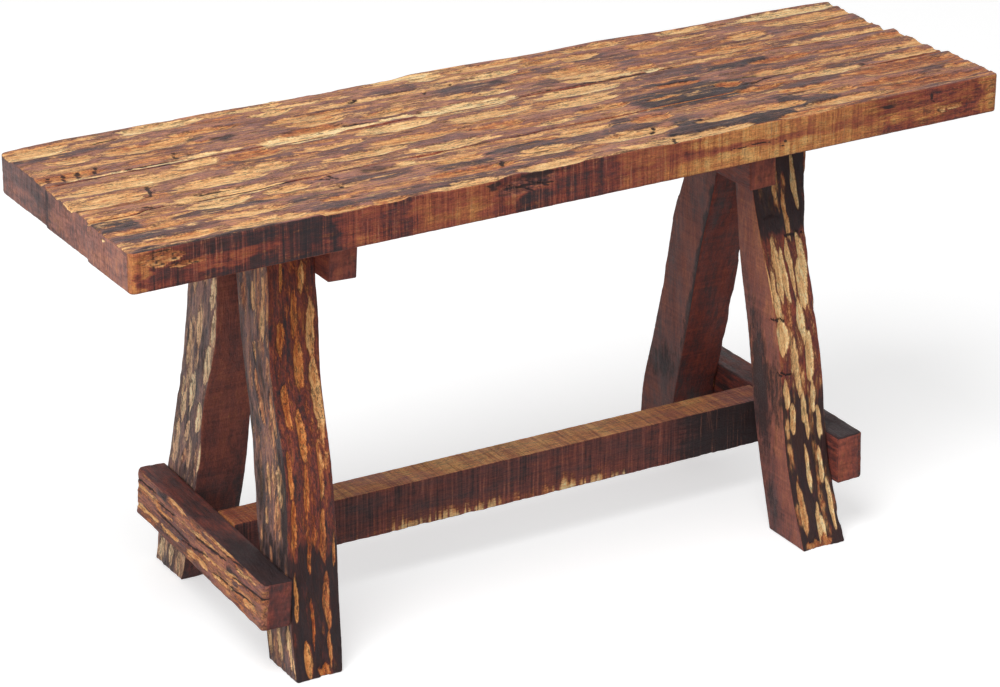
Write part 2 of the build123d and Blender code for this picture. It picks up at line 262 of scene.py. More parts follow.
def section_limits(start, stop, stations):
    """Lowest and highest place across the timber in both directions, at each station."""
    low, high = stations[0], stations[-1]
    limits = np.zeros((2, 2, len(stations)))
    for i, place in enumerate(stations):
        s = min(max(place, low + 0.02), high - 0.02)
        crossing = (start[:, 0] - s) * (stop[:, 0] - s) < 0
        a, b = start[crossing], stop[crossing]
        t = (s - a[:, 0]) / (b[:, 0] - a[:, 0])
        cross = a[:, 1:] + t[:, None] * (b[:, 1:] - a[:, 1:])
        limits[0, :, i] = cross.min(axis=0)
        limits[1, :, i] = cross.max(axis=0)
    return limits


def shared_edge(heights, face, other):
    """Heights of the other face along the edge that it shares with this face."""
    axes = [k for k in AXES if k != other[0]]
    return np.take(heights[other], 0 if face[1] == LOW else -1, axis=axes.index(face[0]))


def face_grid(key, stations, limits, steps):
    """Points over one face, and beside each the low and high corner of the timber there."""
    axis, side = key
    end = 0 if side == LOW else -1
    if axis == ALONG:
        s = stations[end]
        low, high = limits[:, :, end, None, None]
        share = {ACROSS: steps[ACROSS][:, None], UP: steps[UP][None, :]}
    else:
        free = UP if axis == ACROSS else ACROSS
        s = stations[:, None]
        low, high = limits[..., None]
        share = {free: steps[free][None, :], axis: float(side == HIGH)}
    a, b = (low[k - 1] * (1 - share[k]) + high[k - 1] * share[k] for k in (ACROSS, UP))
    shape = np.broadcast_shapes(np.shape(s), np.shape(a), np.shape(b))

    def stack(*parts):
        return np.stack([np.broadcast_to(part, shape) for part in parts], axis=-1)

    return stack(s, a, b), (stack(stations[0], *low), stack(stations[-1], *high))


def rounded(key, grid, bounds, heights, round_over):
    """A face's points with its relief sunk in and its edges rounded and shared with the next faces."""
    lo, hi = bounds
    core = np.clip(grid, lo + round_over, hi - round_over)
    out = grid - core
    length = np.linalg.norm(out, axis=-1, keepdims=True)
    point = core + out / np.maximum(length, 1e-9) * round_over
    point[..., key[0]] -= key[1] * heights[key]
    sides = [k for k in AXES if k != key[0]]
    for axis in sides:
        for side in (LOW, HIGH):
            edge = np.expand_dims(shared_edge(heights, key, (axis, side)), sides.index(axis))
            away = grid[..., axis] - lo[..., axis] if side == LOW else hi[..., axis] - grid[..., axis]
            point[..., axis] -= side * edge * np.clip(1 - away / EDGE_FADE, 0, 1) ** 2
    return point


def timber(name, node, slot, paint, axes=WORLD_AXES, step=2, fine=1.05, round_over=1.5):
    """A timber over a CAD node: its section follows the node, and paint() gives each face."""
    start, stop = node_edges(node, axes)
    ends = np.concatenate([start[:, 0], stop[:, 0]])
    stations = stations_between(ends.min(), ends.max(), step, round_over)
    limits = section_limits(start, stop, stations)
    counts = [max(4, round(span / fine)) for span in (limits[1] - limits[0]).max(axis=1)]
    steps = [None] + [np.linspace(0, 1, count + 1) for count in counts]
    grids, bounds, faces = {}, {}, {}
    for key in ((axis, side) for axis in AXES for side in (LOW, HIGH)):
        grids[key], bounds[key] = face_grid(key, stations, limits, steps)
        faces[key] = paint(key, grids[key], bounds[key])
    grain = dict(grids)
    # The streaks of an end run level.
    rise, run = (ACROSS, UP) if abs(axes[1][2]) > 0.5 else (UP, ACROSS)
    for side in (LOW, HIGH):
        end = grids[(ALONG, side)]
        grain[(ALONG, side)] = np.stack([end[..., run], end[..., 0], 0.2 * end[..., rise]], axis=-1)
    heights = {key: np.maximum(face.height, 0) for key, face in faces.items()}
    placed = {key: rounded(key, grid, bounds[key], heights, round_over) for key, grid in grids.items()}
    piece = assemble(name, axes, counts, placed, grain, faces)
    piece.data.materials.append(WOODS[slot])
    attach(piece, "root")
    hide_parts(node)


def add_object(name, data):
    """A new object in the scene."""
    made = bpy.data.objects.new(name, data)
    bpy.context.scene.collection.objects.link(made)
    return made


def around(values, counts):
    """Values of the four long faces joined into one ring per station."""
    na, nb = counts
    parts = (
        values[(UP, LOW)][:, :na],
        values[(ACROSS, HIGH)][:, :nb],
        values[(UP, HIGH)][:, :0:-1],
        values[(ACROSS, LOW)][:, :0:-1],
    )
    return np.concatenate(parts, axis=1)


def assemble(name, axes, counts, placed, grain, faces):
    """Joins the six painted grids into one closed mesh with its paint as attributes."""
    na, nb = counts
    ring = around(placed, counts)
    total = ring.shape[0] * ring.shape[1]
    index = np.arange(total).reshape(ring.shape[:2])
    following = np.roll(index, -1, axis=1)
    quads = [np.stack([index[:-1], following[:-1], following[1:], index[1:]], axis=-1).reshape(-1, 4)]
    for side in (LOW, HIGH):
        row = index[0 if side == LOW else -1]
        cap = np.zeros((na + 1, nb + 1), dtype=np.int64)
        cap[:na, 0] = row[:na]
        cap[na, :nb] = row[na : na + nb]
        cap[na:0:-1, nb] = row[na + nb : 2 * na + nb]
        cap[0, nb:0:-1] = row[2 * na + nb :]
        inner = (na - 1) * (nb - 1)
        cap[1:-1, 1:-1] = np.arange(total, total + inner).reshape(na - 1, nb - 1)
        total += inner
        patch = np.stack([cap[:-1, :-1], cap[:-1, 1:], cap[1:, 1:], cap[1:, :-1]], axis=-1).reshape(-1, 4)
        quads.append(patch if side == LOW else patch[:, ::-1])

    def gather(values):
        long = around(values, counts)
        ends = [values[(ALONG, side)][1:-1, 1:-1] for side in (LOW, HIGH)]
        return np.concatenate([part.reshape((-1,) + part.shape[2:]) for part in (long, *ends)])

    points = gather(placed) @ np.array(axes) * MM
    quads = np.concatenate(quads)
    mesh = bpy.data.meshes.new(name)
    mesh.from_pydata(points.tolist(), [], quads.tolist())
    for key in LAYERS:
        layer = mesh.attributes.new(key, "FLOAT", "POINT")
        layer.data.foreach_set("value", gather({k: getattr(f, key) for k, f in faces.items()}))
    layer = mesh.attributes.new("grain", "FLOAT_VECTOR", "POINT")
    layer.data.foreach_set("vector", gather(grain).reshape(-1))
    mesh.polygons.foreach_set("use_smooth", np.ones(len(quads), dtype=bool))
    mesh.update()
    return add_object(name, mesh)


# ---------------- materials

class Graph:
    """A short way to write the nodes of a material or a world."""

    def __init__(self, owner):
        owner.use_nodes = True
        self.owner = owner
        self.nodes = owner.node_tree.nodes
        self.links = owner.node_tree.links
        self.nodes.clear()

    def add(self, kind, sockets=None, **settings):
        """A node whose sockets take numbers, colours or other nodes' outputs."""
        node = self.nodes.new("ShaderNode" + kind)
        for key, value in settings.items():
            setattr(node, key, value)
        for key, value in (sockets or {}).items():
            if isinstance(value, bpy.types.NodeSocket):
                self.links.new(value, node.inputs[key])
            else:
                node.inputs[key].default_value = value
        return node

    def math(self, operation, first, second=0, third=0):
        return self.add("Math", {0: first, 1: second, 2: third}, operation=operation).outputs[0]

    def times(self, first, second):
        return self.math("MULTIPLY", first, second)

    def total(self, *terms, start=0):
        """The sum of start and of (output, weight) pairs."""
        for output, weight in terms:
            start = self.math("MULTIPLY_ADD", output, weight, start)
        return start

    def without(self, value, share):
        """1 less a share of the value."""
        return self.math("MULTIPLY_ADD", value, -share, 1)

    def spread(self, value, low, high, to_low=0, to_high=1):
        """Smooth step of a value between two numbers."""
        sockets = {"Value": value, "From Min": low, "From Max": high, "To Min": to_low, "To Max": to_high}
        return self.add("MapRange", sockets, interpolation_type="SMOOTHSTEP").outputs[0]

    def noise(self, vector, stretch, detail=3, roughness=0.55):
        """Noise from about -1 to 1, with the given counts per unit of the vector."""
        scaled = self.add("VectorMath", {0: vector, 1: stretch}, operation="MULTIPLY").outputs[0]
        sockets = {"Vector": scaled, "Scale": 1, "Detail": detail, "Roughness": roughness}
        return self.math("MULTIPLY_ADD", self.add("TexNoise", sockets).outputs["Fac"], 3.2, -1.6)

    def ramp(self, value, stops):
        """Colour ramp with (place, (r, g, b)) stops."""
        node = self.add("ValToRGB", {"Fac": value})
        elements = node.color_ramp.elements
        while len(elements) < len(stops):
            elements.new(0.5)
        for element, (place, colour) in zip(elements, stops):
            element.position = place
            element.color = (*colour, 1)
        return node.outputs["Color"]

    def mix(self, factor, first, second, blend="MIX"):
        sockets = {0: factor, 6: first, 7: second}
        return self.add("Mix", sockets, data_type="RGBA", blend_type=blend).outputs[2]

    def attribute(self, name):
        node = self.add("Attribute", attribute_name=name)
        return node.outputs["Vector" if name == "grain" else "Fac"]

    def seen(self):
        """1 where the camera sees it, also by reflection or through glass, and 0 for other rays."""
        path = self.add("LightPath").outputs
        direct = self.math("MAXIMUM", path["Is Camera Ray"], path["Is Glossy Ray"])
        return self.math("MAXIMUM", direct, path["Is Transmission Ray"])

    def bump(self, height, strength, distance):
        return self.add("Bump", {"Strength": strength, "Distance": distance, "Height": height}).outputs[0]

    def surface(self, colour, roughness, **others):
        """The shader with its other sockets, and the output."""
        shader = self.add("BsdfPrincipled", {"Base Color": colour, "Roughness": roughness, **others})
        self.add("OutputMaterial", {"Surface": shader.outputs[0]})
        return self.owner


# Colours of the hewn ground, of the cuts and of the sawn ground, from dark to light.
RIDGE = (
    (0, (0.028, 0.021, 0.023)), (0.15, (0.085, 0.057, 0.057)), (0.32, (0.178, 0.095, 0.086)),
    (0.5, (0.32, 0.144, 0.114)), (0.65, (0.465, 0.204, 0.134)), (0.8, (0.565, 0.26, 0.134)),
    (1, (0.69, 0.35, 0.16)),
)
CUT = (
    (0, (0.18, 0.06, 0.036)), (0.15, (0.4, 0.12, 0.048)), (0.3, (0.57, 0.207, 0.076)),
    (0.45, (0.705, 0.332, 0.122)), (0.6, (0.81, 0.448, 0.195)), (0.75, (0.9, 0.548, 0.246)),
    (0.88, (0.965, 0.64, 0.302)), (1, (1, 0.76, 0.42)),
)
SAWN = (
    (0, (0.03, 0.022, 0.026)), (0.15, (0.07, 0.03, 0.03)), (0.3, (0.185, 0.045, 0.036)),
    (0.45, (0.33, 0.078, 0.046)), (0.6, (0.435, 0.127, 0.058)), (0.75, (0.575, 0.207, 0.072)),
    (0.9, (0.765, 0.337, 0.108)), (1, (0.88, 0.49, 0.18)),
)

DEEP_CHAR_AND_SHADE = (0.026, 0.018, 0.02, 1)
FLECK = (0.045, 0.025, 0.022, 1)
THREAD = (0.085, 0.036, 0.026, 1)
SCRATCH = (0.33, 0.14, 0.1, 1)
FRESH_TINT = (1, 0.76, 0.56, 1)

# Noises of the timber: grains per mm along and across it, detail and roughness.
NOISES = {
    "fibre": (0.028, 0.42, 5, 0.62),
    "weave": (0.1, 0.27, 4, 0.6),
    "hair": (0.08, 1.7, 3, 0.65),
    "cloud": (0.02, 0.06, 3, 0.6),
    "grit": (0.38, 0.85, 4, 0.7),
    "nick": (0.13, 0.55, 3, 0.6),
    "kerf": (0.42, 0.015, 4, 0.75),
    "vein": (0.016, 0.19, 4, 0.6),
}


def timber_material(name):
    """Scorched and oiled timber: burnt ridges, pale adze cuts and sawn faces, told apart by the paint."""
    g = Graph(bpy.data.materials.new(name))
    grain = g.attribute("grain")
    fibre, weave, hair, cloud, grit, nick, kerf, vein = (
        g.noise(grain, (along, across, across), detail, roughness)
        for along, across, detail, roughness in NOISES.values()
    )
    family = g.attribute("sawn")
    calm = g.attribute("calm")

    # The paint's edges and tones, broken up by the grain.
    scored = g.times(kerf, g.times(g.attribute("score"), g.spread(cloud, -0.9, 0.3, 0.5, 1)))
    ragged = g.total((fibre, 0.45), (weave, 0.42), (grit, 0.25))
    edge = g.total((ragged, g.without(calm, 0.6)), (scored, 0.5), start=g.attribute("cut"))
    in_cut = g.spread(edge, 0.12, 0.95)
    tone = g.total((fibre, 0.22), (weave, 0.26), (grit, 0.2), (cloud, 0.06), start=g.attribute("tone"))
    streaks = g.total((fibre, 0.34), (weave, 0.26), (grit, 0.16))
    streaks = g.times(streaks, g.without(calm, 0.85))
    stain = g.total((streaks, 1), (cloud, 0.1), (scored, 0.22), start=g.attribute("stain"))

    # Ground and cuts.
    ground = g.mix(g.spread(family, 0, 0.7), g.ramp(stain, RIDGE), g.ramp(stain, SAWN))
    fresh = g.mix(g.spread(family, 0.7, 1), g.ramp(tone, CUT), FRESH_TINT, "MULTIPLY")
    colour = g.mix(in_cut, ground, fresh)
    # rim is a band along the cuts' edges, which the streak darkens as painted shade.
    rim = g.times(g.spread(edge, 0.05, 0.34), g.spread(edge, 0.7, 0.36))
    speckle = g.spread(in_cut, 0, 1, 0.44, 0.27)
    streak = g.total((hair, 0.34), (grit, speckle), (scored, 0.45), (rim, -0.3), start=1.06)
    tint = g.add("CombineColor", {0: streak, 1: streak, 2: streak}).outputs[0]
    colour = g.mix(1, colour, tint, "MULTIPLY")

    # Dark threads and flecks, char with the painted shadow lines along the cuts, and pale scratches of the
    # saw.
    thread = g.spread(g.total((grit, 0.12), start=g.math("ABSOLUTE", vein)), 0.13, 0.02)
    thread = g.times(g.times(thread, g.spread(weave, -0.4, 0.2)), g.without(calm, 0.9))
    colour = g.mix(g.times(thread, 0.8), colour, THREAD)
    fleck = g.times(g.spread(g.total((grit, 0.6), start=nick), 0.58, 0.88), g.without(calm, 0.8))
    colour = g.mix(g.times(fleck, 0.8), colour, FLECK)
    burnt_and_shaded = g.total((weave, 0.4), (fibre, 0.45), (grit, 0.25), start=g.attribute("char"))
    colour = g.mix(g.times(g.spread(burnt_and_shaded, 0.3, 0.95), 0.92), colour, DEEP_CHAR_AND_SHADE)
    scratch = g.spread(g.total((grit, 0.15), start=scored), 0.24, 0.62)
    colour = g.mix(g.times(scratch, 0.62), colour, SCRATCH)
    faded = g.spread(family, -1, 0, 0.7, 1)
    colour = g.add("HueSaturation", {"Saturation": faded, "Color": colour}).outputs[0]

    relief = g.total((fibre, 0.3), (hair, 0.22), (grit, 0.35), (weave, 0.3), (scored, 0.45))
    relief = g.total((fleck, -0.5), (thread, -0.4), start=relief)
    rough = g.spread(g.total((grit, 1), start=cloud), -1, 1, 0.4, 0.7)
    return g.surface(colour, rough, Normal=g.bump(relief, 0.8, 0.0013), **{"Specular IOR Level": 0.2})


def screw_material():
    """Zinc plated steel with fine turning marks."""
    g = Graph(bpy.data.materials.new("screw steel"))
    place = g.add("TexCoord").outputs["Object"]
    rings = g.noise(place, (900, 900, 2500), 2)
    patina = g.noise(place, (160, 160, 160), 3)
    stops = ((0.2, (0.3, 0.29, 0.27)), (0.8, (0.52, 0.51, 0.48)))
    colour = g.ramp(g.total((rings, 0.3), (patina, 0.3), start=0.5), stops)
    rough = g.spread(patina, -1, 1, 0.28, 0.5)
    return g.surface(colour, rough, Normal=g.bump(rings, 0.2, 0.0001), Metallic=1)


def dowel_material():
    """Bare turned hardwood."""
    g = Graph(bpy.data.materials.new("dowel wood"))
    place = g.add("TexCoord").outputs["Object"]
    fibre = g.noise(place, (300, 60, 300), 4)
    cloud = g.noise(place, (40, 20, 40), 2)
    stops = ((0.15, (0.42, 0.27, 0.14)), (0.5, (0.62, 0.45, 0.27)), (0.85, (0.74, 0.58, 0.38)))
    colour = g.ramp(g.total((fibre, 0.3), (cloud, 0.3), start=0.5), stops)
    rough = g.spread(fibre, -1, 1, 0.5, 0.7)
    return g.surface(colour, rough, Normal=g.bump(fibre, 0.3, 0.0002))


def floor_material():
    """Pale floor: white to the camera, and darker to the light that it throws back."""
    g = Graph(bpy.data.materials.new("floor"))
    seen = g.seen()
    colour = g.mix(seen, (0.36, 0.35, 0.34, 1), (0.6, 0.6, 0.6, 1))
    glow = {"Emission Color": WHITE, "Emission Strength": g.times(seen, 0.57)}
    return g.surface(colour, 0.9, **glow)


def studio_world():
    """White surroundings to the camera, and a softer light on everything."""
    world = bpy.data.worlds.new("studio")
    g = Graph(world)
    strength = g.spread(g.seen(), 0, 1, 0.4, 1)
    background = g.add("Background", {"Color": WHITE, "Strength": strength})
    g.add("OutputWorld", {"Surface": background.outputs[0]})
    return world


# ---------------- features of the seat

# Adze cuts of the seat top: x from, x to, y from, y to, tone (0 brown, 0.5 amber, 1 cream).
TOP_CUTS = (
    (-480, -398, 110, 135, 0.58), (-440, -395, 107, 115, 0.7), (-345, -255, 121, 141, 0.74),
    (-430, -385, 79, 98, 0.55), (-385, -290, 76, 98, 0.45), (-310, -235, 92, 105, 0.42),
    (-480, -388, 42, 63, 0.34), (-300, -275, 70, 78, 0.5), (-442, -285, 37.5, 42.5, 0.95),
    (-312, -284, 40, 48, 0.86), (-282, -262, 40, 47, 0.74), (-345, -290, 19, 35, 0.62),
    (-290, -235, 11, 34, 0.3), (-480, -308, -1, 21, 0.6), (-480, -383, -31, -9, 0.58),
    (-370, -260, -34, -14, 0.6), (-480, -405, -65, -51, 0.5), (-385, -270, -63, -43, 0.66),
    (-375, -310, -81, -61, 0.66), (-300, -250, -78, -62, 0.6), (-455, -385, -103, -92, 0.42),
    (-372, -285, -113, -97, 0.6), (-455, -370, -135, -122, 0.42), (-360, -285, -135, -121, 0.6),
    (-300, -235, -21, -1, 0.6), (-260, -230, -118, -107, 0.42), (-275, -230, -149, -133, 0.42),
    (-232, -176, 127, 138, 0.72), (-205, -140, 118, 127, 0.68), (-234, -108, 138, 146, 0.84),
    (-220, -178, 104, 119, 0.74), (-40, -5, 121, 139, 0.74), (-80, 0, 135, 144, 0.8),
    (-150, -40, 98, 106, 0.6), (-220, -130, 79, 96, 0.5), (-200, -140, 61, 83, 0.5),
    (-130, -75, 51, 71, 0.5), (-40, 0, 61, 73, 0.6), (-220, -150, 47, 61, 0.3), (-246, -160, 29, 52, 0.86),
    (-200, -118, 38, 47, 0.93), (-85, 32, 31, 51, 0.88), (-120, -83, 40, 48, 0.93),
    (-158, -70, 14, 34, 0.74), (-225, -150, 1, 13, 0.6), (-68, 30, 0, 21, 0.62), (-160, -60, -20, 0, 0.45),
    (-215, -130, -34, -17, 0.6), (-60, 0, -26, -11, 0.34), (-140, -40, -51, -34, 0.68),
    (-165, -140, -68, -61, 0.66), (-140, -100, -61, -51, 0.6), (-40, 0, -63, -51, 0.6),
    (-125, -80, -87, -73, 0.5), (-50, 5, -108, -87, 0.55), (-150, -60, -118, -101, 0.3),
    (-232, -190, -151, -134, 0.42), (-165, -90, -148, -129, 0.66), (-75, 0, -141, -121, 0.62),
    (0, 90, 124, 139, 0.6), (130, 200, 123, 138, 0.6), (0, 70, 99, 114, 0.8), (75, 115, 107, 121, 0.46),
    (115, 160, 102, 119, 0.6), (190, 230, 99, 119, 0.5), (75, 155, 61, 89, 0.54), (0, 30, 57, 71, 0.74),
    (88, 160, 44, 61, 0.7), (138, 160, 41, 48, 0.92), (168, 187, 41, 48, 0.92), (160, 190, 49, 61, 0.5),
    (35, 140, 16, 37, 0.72), (30, 110, -11, 9, 0.68), (50, 110, -33, -19, 0.45), (0, 40, -44, -32, 0.74),
    (0, 60, -79, -62, 0.6), (85, 125, -81, -61, 0.34), (20, 115, -111, -91, 0.6),
    (135, 200, -109, -94, 0.58), (200, 255, -109, -95, 0.55), (30, 180, -139, -121, 0.66),
    (208, 270, -136, -121, 0.42), (160, 330, -153, -140, 0.6), (0, 140, -149, -141, 0.7),
    (150, 200, -9, 1, 0.3), (125, 165, -34, -27, 0.4), (210, 232, -36, -21, 0.3),
    (215, 262, -59, -41, 0.34), (318, 475, 117, 137, 0.92), (240, 300, 124, 136, 0.74),
    (230, 290, 107, 114, 0.72), (340, 475, 91, 111, 0.62), (290, 340, 75, 96, 0.6),
    (240, 310, 51, 69, 0.5), (370, 475, 56, 74, 0.5), (330, 480, 32, 47, 0.74), (270, 345, 4, 19, 0.34),
    (400, 485, 9, 25, 0.48), (245, 320, -26, -11, 0.6), (332, 490, -21, -4, 0.6),
    (280, 365, -51, -35, 0.76), (385, 458, -46, -27, 0.62), (245, 310, -77, -65, 0.48),
    (283, 320, -98, -87, 0.5), (330, 400, -101, -84, 0.32), (428, 458, -93, -79, 0.5),
    (250, 350, -123, -107, 0.6), (340, 458, -121, -101, 0.24), (340, 458, -76, -50, 0.26),
)
# Stained patches between them: x from, x to, y from, y to, stain (0 char, 0.3 grey, 0.5 purple, 0.8 rust).
TOP_STAINS = (
    (-460, -360, 98, 108, 0.28), (-360, -310, 100, 120, 0.52), (-430, -300, 64, 76, 0.5),
    (-420, -340, 22, 38, 0.72), (-460, -370, -50, -33, 0.72), (-295, -230, 2, 14, 0.36),
    (-464, -422, -92, -64, 0.16), (-400, -300, -92, -82, 0.3), (-460, -365, -122, -104, 0.33),
    (-290, -230, -108, -98, 0.3), (-275, -230, -133, -120, 0.3), (-95, -40, 104, 120, 0.36),
    (-232, -200, 80, 100, 0.48), (-130, -105, 74, 82, 0.48), (-40, 40, 73, 92, 0.3),
    (-150, -85, 2, 14, 0.48), (-215, -165, -18, -2, 0.38), (-130, -60, -34, -20, 0.45),
    (-232, -150, -90, -78, 0.32), (-135, -80, -100, -88, 0.18), (-75, 0, -90, -75, 0.22),
    (-232, -90, -135, -120, 0.32), (-90, -60, -135, -118, 0.32), (-60, 0, -122, -108, 0.32),
    (160, 190, 62, 118, 0.5), (65, 82, 55, 70, 0.36), (75, 110, 88, 100, 0.38), (130, 158, 92, 104, 0.36),
    (150, 230, 15, 38, 0.36), (140, 200, 0, 8, 0.2), (110, 235, -60, -12, 0.17), (60, 80, -80, -60, 0.3),
    (0, 100, -95, -80, 0.28), (110, 140, -115, -85, 0.25), (100, 232, -138, -108, 0.16),
    (320, 445, 108, 117, 0.66), (265, 330, 110, 122, 0.5), (260, 340, 66, 80, 0.5),
    (340, 390, 74, 90, 0.48), (435, 450, 73, 85, 0.45), (310, 340, 42, 62, 0.45), (340, 440, 48, 57, 0.45),
    (232, 300, 10, 25, 0.18), (230, 340, -10, 5, 0.48), (320, 390, -38, -25, 0.42),
    (232, 330, -65, -52, 0.35), (232, 265, -97, -82, 0.16), (400, 430, -92, -78, 0.3),
    (232, 290, -115, -95, 0.26), (340, 445, -150, -128, 0.6), (-460, -320, -153, -138, 0.15),
)
# Charred spots of the seat top: x from, x to, y from, y to, strength.
TOP_CHAR = (
    (-282, -248, 64, 84, 0.9), (-300, -280, 79, 89, 0.9), (-292, -279, 64, 73, 0.8),
    (-462, -454, 9, 19, 1.2), (-205, -160, -72, -58, 0.9), (22, 42, 77, 91, 1),
    (-105, -38, -154, -140, 0.9), (120, 205, -60, -34, 0.85), (200, 300, -28, -8, 0.6),
    (176, 212, -138, -117, 0.7), (362, 374, -46, -34, 1.1), (316, 332, 35, 43, 1),
    (-52, -40, -28, -20, 0.9), (420, 430, -19, -13, 0.8), (100, 160, -132, -112, 0.5),
    (-460, -345, -152, -141, 0.8),
)
# Splits and nicks: x, y, x, y, width.
TOP_CRACKS = (
    (-387, -28, -378, -3, 2.4), (-396, -27, -382, -27, 1.6), (-355, -45, -320, -45, 1.2),
    (-404, -51, -398, -51, 1.4), (-290, -12, -280, -12, 1.4), (-245, -62, -230, -62, 1.2),
    (-244, -93, -232, -93, 1.2), (-380, 42.5, -330, 42.5, 0.9), (-378, 118, -350, 121, 1.6),
    (-450, 44, -446, 61, 2.2), (-436, 44, -432, 61, 2.2), (-421, 44, -417, 61, 2.4),
    (-404, 44, -400, 61, 2.2), (-155, 48, -125, 46, 1.4), (-79, -115, -74, -100, 2.2),
    (35, 41, 230, 40, 1.6), (40, -141, 160, -141, 1), (86, -105, 93, -92, 2.2),
    (90, -137, 95, -124, 2.2), (-26, -95, -22, -95, 1.6), (50, -98, 54, -98, 1.6),
    (230, -37, 320, -20, 1.3), (250, -79, 275, -79, 1.2), (318, -98, 330, -98, 1.2),
    (73, -30, 77, -30, 1.3), (96, -33, 100, -33, 1.3), (-155, 36, -85, 36, 1.3), (-326, 44, -323, 62, 1.8),
    (-312, 46, -309, 56, 1.6), (-404, -48, -397, -54, 2.4), (-288, -10, -278, -15, 2),
    (-240, -61, -230, -70, 1.8), (-120, 103, -108, 107, 1.6), (-49, 87, -41, 96, 1.8),
    (-15, 97, -10, 104, 1.6), (-228, -58, -224, -72, 2.2), (-230, -85, -225, -96, 2),
    (-142, -81, -130, -84, 1.5), (-32, -93, -20, -94, 1.8),
)


def seat_top(u, v, seed):
    """The hewn upper face of a plank."""
    face = Face(u, v, 0, 0.65, seed)
    face.mottle(0.13)
    face.texture(0.25)
    face.shade(TOP_STAINS)
    right = ease(u, 20, 220)
    face.stain -= 0.06 * right
    face.sawn += 0.16 * right
    face.carve(TOP_CUTS, depth=2.2, rows=(13, 60, -0.05), between=0.42)
    face.tone += 0.03 - 0.08 * right
    face.scorch_and_shade(TOP_CHAR)
    face.crack(TOP_CRACKS)
    return face


def seat_under(u, v, seed):
    """The plainly sawn underside."""
    face = Face(u, v, 1, 0.42, seed, calm=0.3, score=0.6)
    face.mottle(0.12)
    face.kerf(0.15, 3.6)
    return face


# Front edge: x from, x to, z from, z to, then tone, stain or strength. EDGE is its whole height.
EDGE = (400, 455)
EDGE_CUTS = (
    (-452, -416, 431, 447, 0.26), (-425, -395, 427, 432, 0.2), (392, 402, 421, 428, 0.34),
    (406, 418, 422, 429, 0.3),
)
EDGE_STAINS = (
    (-480, -447, *EDGE, 0.72), (-450, -415, 400, 430, 0.26), (-415, -330, *EDGE, 0.18),
    (-412, -370, 424, 432, 0.38), (-365, -324, 423, 433, 0.5), (-400, -350, 419, 423, 0.42),
    (-330, -262, *EDGE, 0.15), (-262, -215, *EDGE, 0.4), (-245, -228, 409, 421, 0.5),
    (-215, -185, *EDGE, 0.24), (-185, -105, *EDGE, 0.55), (-175, -115, 418, 427, 0.7),
    (-105, -78, 400, 430, 0.4), (-95, -60, 419, 428, 0.52), (-80, -36, 400, 428, 0.14),
    (-36, 35, *EDGE, 0.27), (-22, 22, 422, 433, 0.34), (35, 95, *EDGE, 0.54),
    (20, 215, 426.5, 430.5, 0.44), (90, 245, 400, 427, 0.84), (110, 250, 432, 452, 0.78),
    (85, 300, 426, 432, 0.52), (245, 325, *EDGE, 0.72), (240, 320, 424, 432, 0.56),
    (322, 450, 427, 455, 0.46), (338, 368, 440, 449, 0.52), (336, 440, 400, 420, 0.44),
    (330, 395, 419, 431, 0.74), (440, 480, *EDGE, 0.78),
)
EDGE_CHAR = (
    (-410, -250, 400, 416, 0.6), (-112, -96, 434, 446, 1.3), (-80, -34, 439, 452, 1.3),
    (323, 342, 435, 442, 1.1), (388, 394, 422, 426, 1), (-420, -340, 436, 447, 0.5),
    (-40, 30, 408, 416, 0.5),
)
EDGE_CRACKS = (
    (150, 428, 205, 428, 0.6), (210, 420, 218, 430, 0.8), (382, 444, 386, 430, 0.8),
    (-96, 436, -40, 434, 1.4), (-90, 440, -60, 429, 0.8), (-75, 442, -45, 431, 0.8),
)

# The knot of the front edge: its middle and reach in x and z, and its lean.
KNOT = (-68, 437)
KNOT_REACH = (32, 8.5)
KNOT_LEAN = 0.12


def seat_front(u, v, seed):
    """The sawn front edge, with its saw marks, char and knot."""
    face = Face(u, v, 0.7, 0.37, seed, calm=0.75, score=1.35)
    lines = face.kerf(0.16, 3.5)
    face.shade(EDGE_STAINS, 2)
    face.mottle(0.06, 30, 8)
    face.stain += 0.1 * lines + 0.05 * ease(u, 70, 130)
    wild = ease(u, 290, 335)
    face.calm -= 0.55 * wild
    face.score -= 0.85 * wild
    face.stain -= 0.05 * wild
    face.carve(EDGE_CUTS, depth=0.8, rough=1, wisps=0.15)
    pits = ease(noise(u / 2.6, v / 1.4, seed + 41), 0, 0.4)
    face.char = np.maximum(face.char, 0.9 * pits * face.cut * (u < -380))
    face.scorch_and_shade(EDGE_CHAR, 2)
    face.crack(EDGE_CRACKS, 0.7)
    along = u - KNOT[0]
    rise = v - KNOT[1] - KNOT_LEAN * along
    knot = ease((along / KNOT_REACH[0]) ** 2 + (rise / KNOT_REACH[1]) ** 2, 1.2, 0.8)
    pores = noise(u / 2.6 + v / 3, v / 1.5, seed + 40)
    face.height += knot * (0.9 + 0.4 * pores)
    face.stain += knot * (0.42 + 0.26 * pores - face.stain)
    face.sawn += knot * (0.4 - face.sawn)
    face.calm *= 1 - knot
    face.char = np.maximum(face.char, knot * (0.5 * ease(pores, -0.1, -0.6) + 0.8 * ease(v, 440, 445)))
    return face


# Left end: y from, y to, z from, z to, tone or stain.
END_CUTS = ((-26, -5, 444, 450, 0.6), (-94, -91, 441, 444, 0.95))
END_STAINS = (
    (-152, -58, *EDGE, 0.52), (-58, 0, *EDGE, 0.44), (0, 28, *EDGE, 0.34),
    (27, 39, *EDGE, 0.14), (39, 60, *EDGE, 0.22), (60, 100, 428, 455, 0.26),
    (60, 140, 400, 428, 0.38), (100, 140, 425, 455, 0.32), (-150, -138, *EDGE, 0.62),
)


def plank_end(u, v, seed, stains):
    """A sawn plank end; u runs across the plank and v climbs."""
    face = Face(u, v, 0.06, 0.43, seed, calm=0.55, score=0.7)
    face.shade(stains, 2)
    face.mottle(0.06, 9, 20)
    face.height += 0.25 * (1 + fbm(u / 3.5, v / 14, seed + 2))
    return face


def split(grid):
    """The three coordinates of a grid of points."""
    return np.moveaxis(grid, -1, 0)


